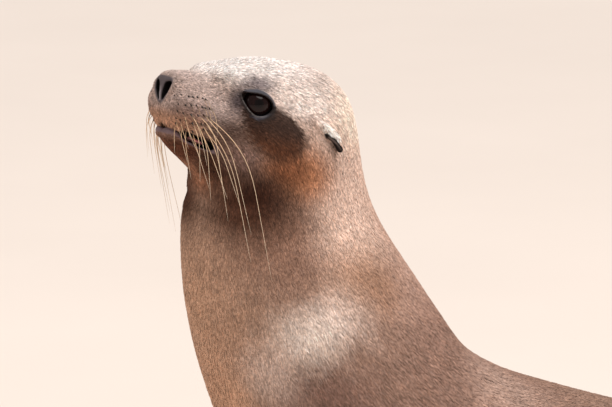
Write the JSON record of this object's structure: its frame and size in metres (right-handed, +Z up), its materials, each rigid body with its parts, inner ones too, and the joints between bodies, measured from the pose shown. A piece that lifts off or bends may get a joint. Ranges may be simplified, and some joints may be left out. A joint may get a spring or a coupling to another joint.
{
  "type": "sea lion",
  "caption": "Life-size still sea lion sitting upright on its fore flippers, head raised and turned, mouth a little open, belly and hind flippers on the floor.",
  "frame": {"origin": "middle of the footprint's bounding box, on the floor the animal sits on", "axes": "+Z up; the animal faces -Y with its head turned a little towards +X, its left side; the body lies along Y"},
  "size_m": [0.9544, 1.237, 0.7356],
  "materials": {
    "fur": "short flat tan-brown fur, darker on the back, throat and round the eyes",
    "flipper_skin": "bare dark creased skin, furred near the body",
    "nose_skin": "bare moist grey-black skin",
    "tongue": "moist pink",
    "eye": "wet and glossy, very dark brown",
    "claw": "dark horn"
  },
  "bodies": {
    "root": {"head": "fur", "lower_jaw": "fur", "neck": "fur", "trunk": "fur", "tail": "fur", "ear_left": "fur", "ear_right": "fur", "nose_pad": "nose_skin", "tongue": "tongue", "eye_left": "eye", "eye_right": "eye", "fore_flipper_left": "flipper_skin", "fore_flipper_right": "flipper_skin", "hind_flipper_left": "flipper_skin", "hind_flipper_right": "flipper_skin", "claw_1_left": "claw", "claw_1_right": "claw", "claw_2_left": "claw", "claw_2_right": "claw", "claw_3_left": "claw", "claw_3_right": "claw"}
  },
  "joints": []
}
